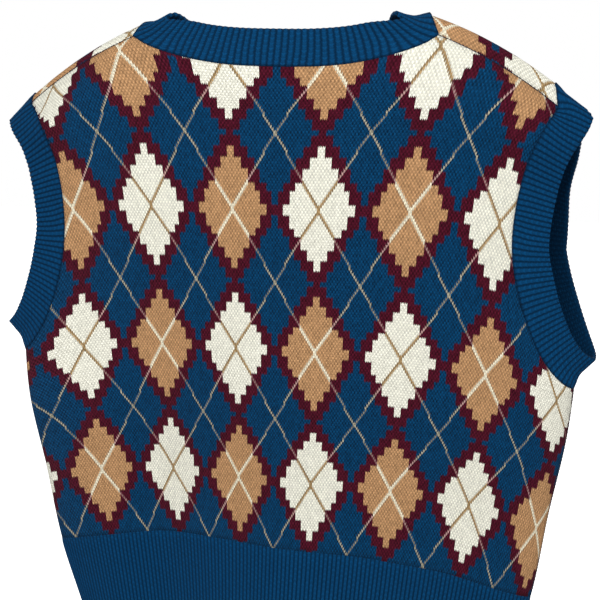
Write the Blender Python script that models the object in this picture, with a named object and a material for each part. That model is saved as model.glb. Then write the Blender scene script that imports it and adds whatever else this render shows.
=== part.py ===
"""Knitted argyle sweater vest, hollow, as it hangs on a wearer.

Two jacquard panels, a neckband, two armbands and a hem rib in two pieces, each a thin
closed wall of its own. Every piece is laid on one form: level rings drawn round a
general torso, which close into a ridge along the top of the shoulders. A place on the
form is (across, run): millimetres of cloth across from the middle, towards the wearer's
left, and millimetres from the shoulder ridge, above 0 down the back and below 0 down
the front.

Frame: metres, +Z up, +X the wearer's left, +Y the wearer's back. The origin is on the
shoulder ridge at the middle of the neck.
"""

from typing import NamedTuple

import bmesh
import bpy
import numpy as np

# ---- Driving sizes, in millimetres ----
MM = 0.001
SEAM_GAP = 0.3
SHOULDER_GAP = 0.8  # the same gap where the shoulder seam curves over the ridge
BAND_GAP = 1.0  # where a band's seam curves, so that its facets stay clear by about 0.3
JACQUARD_WALL = 2.2
RIB_WALL = 2.8
RIB_PROUD = 0.3  # how far a rib stands above the panel it is sewn to

PANEL_HALF = 231.0  # half the width of one panel, side seam to side seam
UNDERARM = 157.0  # levels go up the cloth from the top of the hem rib
RIDGE = 421.0
HEM_RIB = 65.0
SEAM_BEHIND_RIDGE = 17.0  # the shoulder seam lies on the back of the shoulder
SHOULDER_TIP = 205.0
NECK_POINT = 110.0
BACK_NECK_DIP = 47.0
V_POINT = 190.0
V_CURVE = 1.12  # 1 is a straight-sided V
BACK_SCOOP = 59.0  # how far the armhole cuts in from the side seam
FRONT_SCOOP = 52.0
BACK_RISE = 2.2  # how late the edge turns out to the shoulder: 1 is a straight line
FRONT_RISE = 0.9
BACK_SCOOP_HEIGHT = 104.0
FRONT_SCOOP_HEIGHT = 85.0
NECKBAND = 26.0
ARMBAND = 25.0
NECKBAND_STAND = 0.3  # at the neck points: 0 lies on the form, 1 stands upright
NECKBAND_LIES_FLAT = 60.0  # run in front of the ridge by which it has come to lie flat
ARMBAND_FLARE = 0.0  # at the shoulder: 0 lies on the form, 1 points straight out sideways
UNDERARM_FLARE = 0.62  # the same at the bottom of the armhole
ARMHOLE_MIDDLE = (232.0, 0.0, -190.0)  # a point that the armband leans towards
SHOULDER_BAND = 70.0  # run on each side of the ridge before the flare starts to grow

LIFT_POWER = 2.3
SLIDE = 4.0  # how far the cloth has slid to the back over the wearer's right shoulder
SLIDE_REACH = 120.0  # run on each side of the ridge over which the slide fades

# ---- How finely the walls are cut into facets ----
NECK_COLUMNS = (0.0, 0.16, 0.34, 0.52, 0.68, 0.8, 0.88, 0.93, 0.97, 1.0)  # parts of NECK_POINT
NECKBAND_BACK_STATIONS = (0.88, 0.68, 0.52, 0.34, 0.16, 0.0)
SHOULDER_COLUMNS = 4
LOWER_ROWS = 6
SCOOP_ROWS = 5
SHOULDER_ROWS = (0.16, 0.32, 0.47, 0.6, 0.72, 0.82, 0.9, 0.95, 1.0)  # parts of the rise
RIB_ROWS = 3
BAND_ROWS = 3
MOST_ROLL = 95.0  # degrees that a band may roll off the form
ROLL_EARLY = 1.4  # above 1 the roll is all taken before the free edge
BAND_EASING = 2  # rounds of evening out, a row, where a band turns at the shoulder
UNDERARM_EASING = 0.25  # the share of it that is left at the bottom of the armhole
RING_SAMPLES = 81
PROBE = 1.5  # millimetres each way over which a normal is measured


class Ring(NamedTuple):
    """One level ring of the form, in millimetres."""

    level: float
    side_height: float  # height of the ring at the side seam
    back_lift: float  # how much higher the middle of the back is
    front_lift: float
    half_width: float
    back_depth: float
    front_depth: float
    centre: float  # how far the ring's middle sits towards the back
    tilt: float  # how much higher the wearer's left side hangs than the middle
    square: float  # 2 is an ellipse, more is squarer


RINGS = (
    #    level  side  back  front half  back front centre tilt square
    Ring(-65, -497, 29, 14, 168, 45, 76, -18, 9, 2.1),
    Ring(0, -433, 28, 15, 188, 35, 77, -16, 8, 2.1),
    Ring(60, -371, 25, 15, 199, 35, 85, -14, 5, 2.1),
    Ring(125, -307, 20, 20, 211, 40, 95, -12, 4, 2.1),
    Ring(190, -242, 18, 21, 215, 49, 90, -19, 4, 2.1),
    Ring(250, -181, 20, 22, 209, 58, 72, -25, 3, 2.2),
    Ring(310, -138, 39, 45, 209, 58, 47, -27, 2, 2.5),
    Ring(355, -116, 65, 72, 211, 45, 36, -16, 1, 2.9),
    Ring(390, -101, 80, 87, 213, 24, 20, -9, -2, 3.3),
    Ring(421, -85, 85, 85, 217, 0, 0, 0, -5.5, 3.4),
)


class Fold(NamedTuple):
    """A soft ridge (height above 0) or trough that runs down to the hem."""

    face: int  # 1 on the back, -1 on the front
    at_hem: float  # distance across from the middle
    at_top: float
    width: float
    height: float
    top: float  # level where it dies out


FOLDS = (
    #    face  hem  top width height level
    Fold(1, -10, -30, 52, 9, 210),
    Fold(1, 112, 96, 46, -11, 230),
    Fold(1, -150, -120, 34, -5, 150),
    Fold(-1, 60, 30, 40, 8, 200),
    Fold(-1, -35, -60, 38, -7, 170),
    Fold(-1, 150, 140, 30, -6, 190),
)


class Finish(NamedTuple):
    """A cloth's name, colour (linear RGB) and roughness."""

    name: str
    colour: tuple
    roughness: float


JACQUARD = Finish("argyle_jacquard_knit", (0.006, 0.035, 0.105), 0.9)
RIB_KNIT = Finish("rib_knit", (0.005, 0.042, 0.115), 0.88)


# ---- The form ----
def smooth_through(values, stations, at):
    """Reads a smooth curve through (stations, values) at the places in at."""
    slopes = np.gradient(values, stations)
    i = np.clip(np.searchsorted(stations, at) - 1, 0, len(stations) - 2)
    step = stations[i + 1] - stations[i]
    t = np.clip((at - stations[i]) / step, 0.0, 1.0)
    start = (1 + 2 * t) * (1 - t) ** 2 * values[i] + t * (1 - t) ** 2 * step * slopes[i]
    end = t * t * (3 - 2 * t) * values[i + 1] - t * t * (1 - t) * step * slopes[i + 1]
    return start + end


def column_run(front_column, back_column, front_sign=1.0):
    """A ring column as one run: up the front, over the ridge and down the back."""
    front = [front_sign * getattr(ring, front_column) for ring in RINGS]
    back = [getattr(ring, back_column) for ring in RINGS[-2::-1]]
    return np.array(front + back, float)


LEVELS = np.array([ring.level for ring in RINGS], float)
RUNS = np.concatenate([LEVELS - RIDGE, RIDGE - LEVELS[-2::-1]])
WIDTH = column_run("half_width", "half_width")
DEPTH = column_run("front_depth", "back_depth", -1.0)
SIDE = column_run("side_height", "side_height")
LIFT = column_run("front_lift", "back_lift")
CENTRE = column_run("centre", "centre")
TILT = column_run("tilt", "tilt")
SQUARE = column_run("square", "square")


def fold_height(across, run):
    """How far the folds push the cloth out (above 0) or in at each place."""
    face = np.where(run > 0, 1, -1)
    level = RIDGE - np.abs(run)
    total = np.zeros_like(across)
    for fold in FOLDS:
        fade = np.clip((fold.top - level) / fold.top, 0.0, 1.3)
        middle = fold.at_top + (fold.at_hem - fold.at_top) * np.minimum(fade, 1.0)
        bump = np.exp(-(((across - middle) / fold.width) ** 2))
        total += np.where(face == fold.face, fold.height * fade * bump, 0.0)
    return total


def place(across, run):
    """The points of the form at (across, run), in millimetres: shape (n, 3)."""
    across, run = np.broadcast_arrays(np.asarray(across, float), np.asarray(run, float))
    run = run - SLIDE * across / PANEL_HALF * np.exp(-((run / SLIDE_REACH) ** 2))
    shape = (WIDTH, DEPTH, SIDE, LIFT, CENTRE, TILT, SQUARE)
    width, depth, side, lift, centre, tilt, square = (
        smooth_through(column, RUNS, run)[:, None] for column in shape
    )
    angle = np.linspace(0.0, np.pi / 2, RING_SAMPLES)
    out = np.sin(angle) ** (2 / square)
    deep = np.cos(angle) ** (2 / square)
    ring = np.stack([width * out, centre + depth * deep, side + lift * (1 - out**LIFT_POWER)], axis=2)
    length = np.cumsum(np.linalg.norm(np.diff(ring, axis=1), axis=2), axis=1)
    length = np.hstack([np.zeros((len(length), 1)), length])
    wanted = np.abs(across) / PANEL_HALF * length[:, -1]
    points = np.empty((len(run), 3))
    for k, (line, lengths, at) in enumerate(zip(ring, length, wanted)):
        points[k] = [np.interp(at, lengths, line[:, axis]) for axis in range(3)]
    points[:, 0] *= np.sign(across)
    flat = np.sqrt(np.maximum(0.0, 1 - (np.abs(across) / PANEL_HALF) ** 4))
    points[:, 1] += np.sign(run) * fold_height(across, run) * flat
    points[:, 2] += tilt[:, 0] * across / PANEL_HALF
    return points


def place_with_normal(across, run):
    """Points of the form and the unit normals that point out of it."""
    across, run = np.broadcast_arrays(np.asarray(across, float), np.asarray(run, float))
    shape = across.shape
    across, run = across.ravel(), run.ravel()
    inside = np.clip(across, -PANEL_HALF + PROBE, PANEL_HALF - PROBE)
    sideways = place(inside + PROBE, run) - place(inside - PROBE, run)
    downwards = place(across, run + PROBE) - place(across, run - PROBE)
    normal = np.cross(sideways, downwards)
    normal[np.abs(across) > PANEL_HALF - SEAM_GAP, 1] = 0.0  # square to the side seam
    normal /= np.linalg.norm(normal, axis=1, keepdims=True)
    return place(across, run).reshape(*shape, 3), normal.reshape(*shape, 3)


# ---- The cut ----
def shoulder_level(face):
    """The level of the shoulder seam on the back (1) or the front (-1) panel."""
    return RIDGE - face * SEAM_BEHIND_RIDGE


def armhole_edge(face):
    """(across, level) from the top of the side seam up to the shoulder tip."""
    scoop, height, turn_out = BACK_SCOOP, BACK_SCOOP_HEIGHT, BACK_RISE
    if face < 0:
        scoop, height, turn_out = FRONT_SCOOP, FRONT_SCOOP_HEIGHT, FRONT_RISE
    turn = np.radians(np.linspace(0.0, 90.0, SCOOP_ROWS + 1))
    scoop_across = PANEL_HALF - scoop * np.sin(turn)
    scoop_level = UNDERARM + height * (1 - np.cos(turn))
    rise = np.array(SHOULDER_ROWS)
    across = scoop_across[-1] + (SHOULDER_TIP - scoop_across[-1]) * rise**turn_out
    level = scoop_level[-1] + (shoulder_level(face) - scoop_level[-1]) * rise
    return np.concatenate([scoop_across, across]), np.concatenate([scoop_level, level])


def neck_level(across, face):
    """The level of the neck edge at each place across."""
    part = np.minimum(np.abs(across) / NECK_POINT, 1.0)
    if face > 0:
        return shoulder_level(face) - BACK_NECK_DIP * (1 - part**2.6)
    return V_POINT + (shoulder_level(face) - V_POINT) * part**V_CURVE


def columns():
    """Places across a panel, as fractions of its half width, with one at each neck point."""
    neck = np.array(NECK_COLUMNS) * NECK_POINT / SHOULDER_TIP
    shoulder = np.linspace(NECK_POINT / SHOULDER_TIP, 1.0, SHOULDER_COLUMNS + 1)[1:]
    half = np.concatenate([neck, shoulder])
    return np.concatenate([-half[:0:-1], half])


def level_to_run(level, face):
    """Turns a level on the back (1) or the front (-1) panel into a run from the ridge."""
    return face * (RIDGE - level)


def panel_grid(face):
    """(across, run) of a whole panel, a row at a time from the rib to the shoulder."""
    part = columns()
    edge_across, edge_level = armhole_edge(face)
    rise = (edge_level - UNDERARM) / (edge_level[-1] - UNDERARM)
    top = neck_level(part * SHOULDER_TIP, face)
    across, level = [], []
    for row_level in np.linspace(SEAM_GAP / 2, UNDERARM, LOWER_ROWS + 1)[:-1]:
        across.append(part * PANEL_HALF)
        level.append(np.full_like(part, row_level))
    for half, height in zip(edge_across, rise):
        across.append(part * half)
        level.append(UNDERARM + height * (top - UNDERARM))
    across = np.array(across)
    across *= 1 - SEAM_GAP / 2 / PANEL_HALF
    run = level_to_run(np.array(level), face)
    run[-1] += face * SHOULDER_GAP / 2
    return across, run


# ---- Walls ----
def wall(name, outer, normal, thickness, finish, collection, closed=False):
    """A closed wall between a grid of outer points and the same grid moved inwards."""
    rows, count = outer.shape[:2]
    mesh = bmesh.new()
    sheets = []
    for sheet in (outer, outer - normal * thickness):
        sheets.append([[mesh.verts.new(point * MM) for point in row] for row in sheet])
    top, under = sheets
    spans = range(count if closed else count - 1)
    for row in range(rows - 1):
        for i in spans:
            j = (i + 1) % count
            mesh.faces.new((top[row][i], top[row][j], top[row + 1][j], top[row + 1][i]))
            mesh.faces.new((under[row][i], under[row + 1][i], under[row + 1][j], under[row][j]))
    for row in (0, rows - 1):
        for i in spans:
            j = (i + 1) % count
            mesh.faces.new((top[row][i], under[row][i], under[row][j], top[row][j]))
    for i in () if closed else (0, count - 1):
        for row in range(rows - 1):
            mesh.faces.new((top[row][i], top[row + 1][i], under[row + 1][i], under[row][i]))
    bmesh.ops.recalc_face_normals(mesh, faces=mesh.faces)
    data = bpy.data.meshes.new(name)
    mesh.to_mesh(data)
    mesh.free()
    data.shade_smooth()
    data.set_sharp_from_angle(angle=np.radians(40.0))
    data.materials.append(material(finish))
    piece = bpy.data.objects.new(name, data)
    collection.objects.link(piece)
    return piece


def material(finish):
    """The Principled material of a finish, made once."""
    found = bpy.data.materials.get(finish.name)
    if found:
        return found
    made = bpy.data.materials.new(finish.name)
    made.use_nodes = True
    shader = made.node_tree.nodes["Principled BSDF"]
    shader.inputs["Base Color"].default_value = (*finish.colour, 1.0)
    shader.inputs["Roughness"].default_value = finish.roughness
    shader.inputs["Metallic"].default_value = 0.0
    return made


def unit(vectors):
    """The vectors at length 1."""
    return vectors / np.linalg.norm(vectors, axis=-1, keepdims=True)


def band_frame(across, run, opening, closed):
    """Seam points of a band, the direction into its opening, and the normals there."""
    seam, normal = place_with_normal(across, run)
    if closed:
        along = np.roll(seam, -1, axis=0) - np.roll(seam, 1, axis=0)
    else:
        along = np.gradient(seam, axis=0)
    inwards = unit(np.cross(normal, unit(along)))
    inwards *= np.sign(np.sum(inwards * (opening - seam), axis=1, keepdims=True))
    return seam, inwards, normal


def relax(rows, closed, share):
    """Evens out the stations along each row of a band, more towards the free edge.

    share says how much of the evening out each station takes.
    """
    for row in range(1, len(rows)):
        for _ in range(row * BAND_EASING):
            eased = (np.roll(rows[row], 1, axis=0) + 2 * rows[row] + np.roll(rows[row], -1, axis=0)) / 4
            kept = slice(None) if closed else slice(1, -1)
            rows[row, kept] += ((eased - rows[row]) * share[:, None])[kept]
    return rows


def rolled_rows(seam, inwards, normal, width, target, amount, share, closed):
    """Rows of a band that leaves its seam along the form and rolls towards a target.

    amount says how far it rolls at each station, share how much it is evened out there.
    """
    lean = np.arctan2(np.sum(target * normal, axis=1), np.sum(target * inwards, axis=1))
    lean = amount * np.clip(lean, 0.0, np.radians(MOST_ROLL))
    reach, rise = np.zeros_like(lean), np.full_like(lean, RIB_PROUD)
    rows, normals = [], []
    for step in np.linspace(0.0, 1.0, BAND_ROWS + 1):
        bend = lean * min(1.0, ROLL_EARLY * step)
        if step > 0:
            reach = reach + width / BAND_ROWS * np.cos(bend)
            rise = rise + width / BAND_ROWS * np.sin(bend)
        point = seam + inwards * (BAND_GAP + reach)[:, None] + normal * rise[:, None]
        rows.append(point)
        normals.append(normal * np.cos(bend)[:, None] - inwards * np.sin(bend)[:, None])
    rows = relax(np.array(rows), closed, share)
    reached = np.sum(np.linalg.norm(np.diff(rows, axis=0), axis=2), axis=0)
    rows = rows[0] + (rows - rows[0]) * (width / reached)[:, None]
    return rows, unit(relax(np.array(normals), closed, share))


# ---- The pieces ----
def build_panel(face, collection):
    """The back (1) or front (-1) jacquard panel."""
    outer, normal = place_with_normal(*panel_grid(face))
    name = "back_panel" if face > 0 else "front_panel"
    return wall(name, outer, normal, JACQUARD_WALL, JACQUARD, collection)


def build_hem_rib(face, collection):
    """The back (1) or front (-1) half of the hem rib."""
    part = columns()
    levels = np.linspace(-HEM_RIB, -SEAM_GAP / 2, RIB_ROWS + 1)
    across = np.tile(part * (PANEL_HALF - SEAM_GAP / 2), (len(levels), 1))
    run = level_to_run(np.tile(levels[:, None], (1, len(part))), face)
    outer, normal = place_with_normal(across, run)
    outer = outer + normal * RIB_PROUD
    name = "hem_rib_back" if face > 0 else "hem_rib_front"
    return wall(name, outer, normal, RIB_WALL, RIB_KNIT, collection)


def armhole_loop():
    """(across, run) once round the wearer's left armhole from the side seam."""
    back_across, back_level = armhole_edge(1)
    front_across, front_level = armhole_edge(-1)
    across = np.concatenate([back_across, front_across[-2:0:-1]])
    run = np.concatenate([level_to_run(back_level, 1), level_to_run(front_level, -1)[-2:0:-1]])
    return across, run


def build_armband(side, collection):
    """The armband on the wearer's left (1) or right (-1)."""
    across, run = armhole_loop()
    opening = np.array(ARMHOLE_MIDDLE) * [side, 1.0, 1.0]
    seam, inwards, normal = band_frame(side * across, run, opening, closed=True)
    outwards = np.broadcast_to([float(side), 0.0, 0.0], seam.shape)
    low = np.clip((np.abs(run) - SHOULDER_BAND) / (RIDGE - UNDERARM - SHOULDER_BAND), 0.0, 1.0)
    flare = ARMBAND_FLARE + (UNDERARM_FLARE - ARMBAND_FLARE) * low
    share = 1.0 + (UNDERARM_EASING - 1.0) * low
    outer, normals = rolled_rows(
        seam, inwards, normal, ARMBAND, outwards, flare, share, closed=True
    )
    name = "armband_left" if side > 0 else "armband_right"
    return wall(name, outer, normals, RIB_WALL, RIB_KNIT, collection, closed=True)


def neck_edge():
    """(across, run) of the neck edge from the V point round the back to the V point."""
    front_across = NECK_POINT * np.array(NECK_COLUMNS)
    back_across = NECK_POINT * np.array(NECKBAND_BACK_STATIONS)
    front_run = level_to_run(neck_level(front_across, -1), -1)
    back_run = level_to_run(neck_level(back_across, 1), 1)
    across = np.concatenate([front_across, back_across])
    run = np.concatenate([front_run, back_run])
    return np.concatenate([across, -across[-2::-1]]), np.concatenate([run, run[-2::-1]])


def mitre(rows):
    """Cuts the first stations of a band back to its mitre at the middle of the front."""
    inner = rows[-1]
    last = int(np.argmax(inner[:, 0] > SEAM_GAP / 2)) - 1
    step = inner[last + 1] - inner[last]
    corner = inner[last] + step * (SEAM_GAP / 2 - inner[last, 0]) / step[0]
    seam_step = rows[0, 1] - rows[0, 0]
    seam_corner = rows[0, 0] + seam_step * (SEAM_GAP / 2 - rows[0, 0, 0]) / seam_step[0]
    for k in range(last + 1):
        inner_end = corner + (inner[last + 1] - corner) * k / (last + 1)
        seam_end = rows[0, k] if k else seam_corner
        for row, part in enumerate(np.linspace(0.0, 1.0, len(rows))):
            rows[row, k] = seam_end + (inner_end - seam_end) * part


def build_neckband(collection):
    """The neckband, one strip round the neck with its ends mitred at the V."""
    across, run = neck_edge()
    seam, inwards, normal = band_frame(across, run, opening=np.zeros(3), closed=False)
    inwards[0] = inwards[1]
    inwards[-1] = inwards[-2]
    normal[[0, -1], 0] = 0.0
    normal = unit(normal)
    upwards = np.broadcast_to([0.0, 0.0, 1.0], seam.shape)
    behind = 1 - (across / NECK_POINT) ** 2
    in_front = np.clip(-run / NECKBAND_LIES_FLAT, 0.0, 1.0)
    stand = NECKBAND_STAND * (1 - np.where(run > 0, behind, in_front))
    whole = np.ones(len(stand))
    rows, normals = rolled_rows(
        seam, inwards, normal, NECKBAND, upwards, stand, whole, closed=False
    )
    half = rows.shape[1] // 2
    for side, part in ((1.0, rows[:, :half]), (-1.0, rows[:, :half:-1])):
        part[:, :, 0] *= side
        mitre(part)
        part[:, :, 0] *= side
    normals[:, [0, -1], 0] = 0.0
    return wall("neckband", rows, unit(normals), RIB_WALL, RIB_KNIT, collection)


def clear_scene():
    """Removes whatever the start-up scene holds."""
    for old in list(bpy.data.objects):
        bpy.data.objects.remove(old, do_unlink=True)


def main():
    """Builds the vest in a collection of its own."""
    clear_scene()
    vest = bpy.data.collections.new("knitted_sweater_vest")
    bpy.context.scene.collection.children.link(vest)
    for face in (1, -1):
        build_panel(face, vest)
        build_hem_rib(face, vest)
    for side in (1, -1):
        build_armband(side, vest)
    build_neckband(vest)


if __name__ == "__main__":
    main()
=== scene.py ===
"""Looks of the knitted argyle sweater vest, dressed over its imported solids.

Every piece lies on one form, level rings drawn round a general torso that close into a
ridge along the top of the shoulders. A place on the form is (across, run): millimetres
of cloth across from the middle, towards the wearer's left, and millimetres from the
shoulder ridge, above 0 down the back and below 0 down the front.

Frame: metres, +Z up, +X the wearer's left, +Y the wearer's back. The origin is on the
shoulder ridge at the middle of the neck.
"""

import logging
import math
from collections.abc import Callable
from dataclasses import dataclass, field
from enum import Enum

import bmesh
import bpy
import numpy as np
from mathutils import Matrix, Vector


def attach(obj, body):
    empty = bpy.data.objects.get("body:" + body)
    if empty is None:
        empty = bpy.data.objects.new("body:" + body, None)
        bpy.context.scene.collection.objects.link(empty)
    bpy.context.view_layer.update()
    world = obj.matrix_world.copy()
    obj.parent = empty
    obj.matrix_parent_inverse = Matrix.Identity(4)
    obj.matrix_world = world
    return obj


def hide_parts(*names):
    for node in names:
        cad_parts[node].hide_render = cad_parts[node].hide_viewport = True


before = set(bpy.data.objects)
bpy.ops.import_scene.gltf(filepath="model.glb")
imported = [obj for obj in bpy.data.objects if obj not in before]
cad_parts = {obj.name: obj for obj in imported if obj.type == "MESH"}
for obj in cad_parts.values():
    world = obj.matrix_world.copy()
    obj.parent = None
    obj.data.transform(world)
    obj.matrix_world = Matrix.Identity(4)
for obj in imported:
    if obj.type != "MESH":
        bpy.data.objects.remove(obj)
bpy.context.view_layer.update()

log = logging.getLogger("vest")
MM = 0.001
WELD = 0.00001  # in metres
THREAD_END = 2.0  # how far a seam's thread runs in under the bands
THREAD_PLACES = 12
WHITE = (1.0, 1.0, 1.0, 1.0)
ONCE_ROUND = 4.000001  # stations round an opening, so that the last isn't the first

Array = np.ndarray
Colour = tuple[float, float, float, float]
Material = bpy.types.Material
Piece = bpy.types.Object
Socket = bpy.types.NodeSocket


class Face(Enum):
    """Which half of the vest a panel or a rib is."""

    BACK = 1
    FRONT = -1


class Side(Enum):
    """Which side of the wearer a piece is on."""

    LEFT = 1
    RIGHT = -1


# ---- The form ----
@dataclass(frozen=True)
class Ring:
    """One level ring of the form, in millimetres, as the solids have it."""

    level: float
    side_height: float
    back_lift: float
    front_lift: float
    half_width: float
    back_depth: float
    front_depth: float
    centre: float
    tilt: float
    square: float


@dataclass(frozen=True)
class Fold:
    """A soft ridge (height above 0) or trough that runs down to the hem."""

    face: Face
    at_hem: float
    at_top: float
    width: float
    height: float
    top: float


@dataclass(frozen=True)
class Crease:
    """A short soft ridge or trough between two places on the cloth, in millimetres."""

    face: Face
    start: tuple[float, float]
    end: tuple[float, float]
    width: float
    height: float


def smooth_through(values: Array, stations: Array, at: Array) -> Array:
    """Reads a smooth curve through (stations, values).

    Args:
        values: One value, or one point, for each station.
        stations: Rising places along the curve.
        at: The places to read.

    Returns:
        The curve's value at each place in at.
    """
    slopes = np.gradient(values, stations, axis=0)
    i = np.clip(np.searchsorted(stations, at) - 1, 0, len(stations) - 2)
    step = stations[i + 1] - stations[i]
    t = np.clip((at - stations[i]) / step, 0.0, 1.0)
    if values.ndim > 1:
        step, t = step[:, None], t[:, None]
    start = (1 + 2 * t) * (1 - t) ** 2 * values[i] + t * (1 - t) ** 2 * step * slopes[i]
    end = t * t * (3 - 2 * t) * values[i + 1] - t * t * (1 - t) * step * slopes[i + 1]
    return start + end


def unit(vectors: Array) -> Array:
    """The vectors at length 1."""
    return vectors / np.linalg.norm(vectors, axis=-1, keepdims=True)


def even_places(lengths: Array, count: int) -> Array:
    """Where along a path to stand so that count steps are of one length.

    Args:
        lengths: The running length at each of the path's samples.
        count: How many even steps to take.

    Returns:
        The sample numbers, with fractions, of the count + 1 places.
    """
    return np.interp(np.linspace(0.0, lengths[-1], count + 1), lengths, np.arange(len(lengths)))


def running_length(points: Array) -> Array:
    """The length of a line of points from its start to each of them."""
    return np.concatenate([[0.0], np.cumsum(np.linalg.norm(np.diff(points, axis=0), axis=1))])


@dataclass
class VestForm:
    """The form that every piece is laid on."""

    ridge: float = 421.0
    panel_half: float = 231.0
    lift_power: float = 2.3
    slide: float = 4.0
    slide_reach: float = 120.0
    seam_gap: float = 0.3
    samples: int = 201
    probe: float = 1.5  # how far to each side a normal is measured
    most_fade: float = 1.3  # how far a fold goes on growing below the rib's top
    crease_ends: float = 0.35  # a crease's height at its ends, as a share
    rings: tuple[Ring, ...] = (
        Ring(-65, -497, 29, 14, 168, 45, 76, -18, 9, 2.1),
        Ring(0, -433, 28, 15, 188, 35, 77, -16, 8, 2.1),
        Ring(60, -371, 25, 15, 199, 35, 85, -14, 5, 2.1),
        Ring(125, -307, 20, 20, 211, 40, 95, -12, 4, 2.1),
        Ring(190, -242, 18, 21, 215, 49, 90, -19, 4, 2.1),
        Ring(250, -181, 20, 22, 209, 58, 72, -25, 3, 2.2),
        Ring(310, -138, 39, 45, 209, 58, 47, -27, 2, 2.5),
        Ring(355, -116, 65, 72, 211, 45, 36, -16, 1, 2.9),
        Ring(390, -101, 80, 87, 213, 24, 20, -9, -2, 3.3),
        Ring(421, -85, 85, 85, 217, 0, 0, 0, -5.5, 3.4),
    )
    folds: tuple[Fold, ...] = (
        Fold(Face.BACK, -10, -30, 52, 9, 210),
        Fold(Face.BACK, 112, 96, 46, -11, 230),
        Fold(Face.BACK, -150, -120, 34, -5, 150),
        Fold(Face.FRONT, 60, 30, 40, 8, 200),
        Fold(Face.FRONT, -35, -60, 38, -7, 170),
        Fold(Face.FRONT, 150, 140, 30, -6, 190),
    )
    creases: tuple[Crease, ...] = (
        Crease(Face.BACK, (205, 150), (150, 250), 15, -2.2),
        Crease(Face.BACK, (222, 120), (178, 190), 12, 1.8),
        Crease(Face.BACK, (-208, 148), (-158, 240), 15, -2.4),
        Crease(Face.BACK, (-224, 100), (-170, 175), 14, 1.8),
        Crease(Face.BACK, (72, 20), (64, 130), 16, 1.8),
        Crease(Face.BACK, (-62, 12), (-80, 120), 17, -1.8),
        Crease(Face.BACK, (0, 300), (-6, 372), 22, 1.3),
        Crease(Face.FRONT, (205, 148), (140, 235), 15, -2.6),
        Crease(Face.FRONT, (-206, 146), (-138, 230), 16, -2.4),
        Crease(Face.FRONT, (6, 150), (-4, 60), 20, 2.2),
        Crease(Face.FRONT, (-110, 40), (-98, 140), 18, 1.8),
        Crease(Face.FRONT, (95, 190), (40, 150), 16, 1.8),
    )
    runs: Array = field(init=False)
    shape: list[Array] = field(init=False)

    def __post_init__(self) -> None:
        """Turns the rings' columns into runs over the ridge."""
        levels = np.array([ring.level for ring in self.rings])
        self.runs = np.concatenate([levels - self.ridge, self.ridge - levels[-2::-1]])
        names = (
            ("half_width", "half_width", 1.0),
            ("front_depth", "back_depth", -1.0),
            ("side_height", "side_height", 1.0),
            ("front_lift", "back_lift", 1.0),
            ("centre", "centre", 1.0),
            ("tilt", "tilt", 1.0),
            ("square", "square", 1.0),
        )
        self.shape = []
        for front, back, sign in names:
            up = [sign * getattr(ring, front) for ring in self.rings]
            down = [getattr(ring, back) for ring in self.rings[-2::-1]]
            self.shape.append(np.array(up + down, float))

    def relief(self, across: Array, run: Array) -> Array:
        """How far folds and creases push the cloth out (above 0) or in.

        Args:
            across: Places across, in millimetres.
            run: Runs from the ridge, in millimetres.

        Returns:
            The push at each place, in millimetres.
        """
        level = self.ridge - np.abs(run)
        total = np.zeros_like(across)
        for fold in self.folds:
            fade = np.clip((fold.top - level) / fold.top, 0.0, self.most_fade)
            middle = fold.at_top + (fold.at_hem - fold.at_top) * np.minimum(fade, 1.0)
            bump = np.exp(-(((across - middle) / fold.width) ** 2))
            total += np.where(run * fold.face.value > 0, fold.height * fade * bump, 0.0)
        for crease in self.creases:
            start = np.array(crease.start, float)
            way = np.array(crease.end, float) - start
            along = ((across - start[0]) * way[0] + (level - start[1]) * way[1]) / (way @ way)
            near = start + np.clip(along, 0.0, 1.0)[:, None] * way
            off = np.hypot(across - near[:, 0], level - near[:, 1])
            ends = self.crease_ends
            swell = ends + (1 - ends) * np.sin(np.pi * np.clip(along, 0.0, 1.0))
            bump = crease.height * swell * np.exp(-((off / crease.width) ** 2))
            total += np.where(run * crease.face.value > 0, bump, 0.0)
        return total

    def place(self, across: Array, run: Array) -> Array:
        """The points of the form at (across, run).

        Args:
            across: Places across, in millimetres.
            run: Runs from the ridge, in millimetres.

        Returns:
            Points in millimetres, of shape (n, 3).
        """
        fade = np.exp(-((run / self.slide_reach) ** 2))
        run = run - self.slide * across / self.panel_half * fade
        width, depth, side, lift, centre, tilt, square = (
            smooth_through(column, self.runs, run)[:, None] for column in self.shape
        )
        angle = np.linspace(0.0, np.pi / 2, self.samples)
        out = np.sin(angle) ** (2 / square)
        deep = np.cos(angle) ** (2 / square)
        height = side + lift * (1 - out**self.lift_power)
        ring = np.stack([width * out, centre + depth * deep, height], axis=2)
        length = np.cumsum(np.linalg.norm(np.diff(ring, axis=1), axis=2), axis=1)
        length = np.hstack([np.zeros((len(length), 1)), length])
        part = np.abs(across) / self.panel_half
        wanted = part * length[:, -1]
        points = np.empty((len(run), 3))
        for k, (line, lengths, at) in enumerate(zip(ring, length, wanted)):
            points[k] = [np.interp(at, lengths, line[:, axis]) for axis in range(3)]
        points[:, 0] *= np.sign(across)
        flat = np.sqrt(np.maximum(0.0, 1 - part**4))
        points[:, 1] += np.sign(run) * self.relief(across, run) * flat
        points[:, 2] += tilt[:, 0] * across / self.panel_half
        return points

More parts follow.
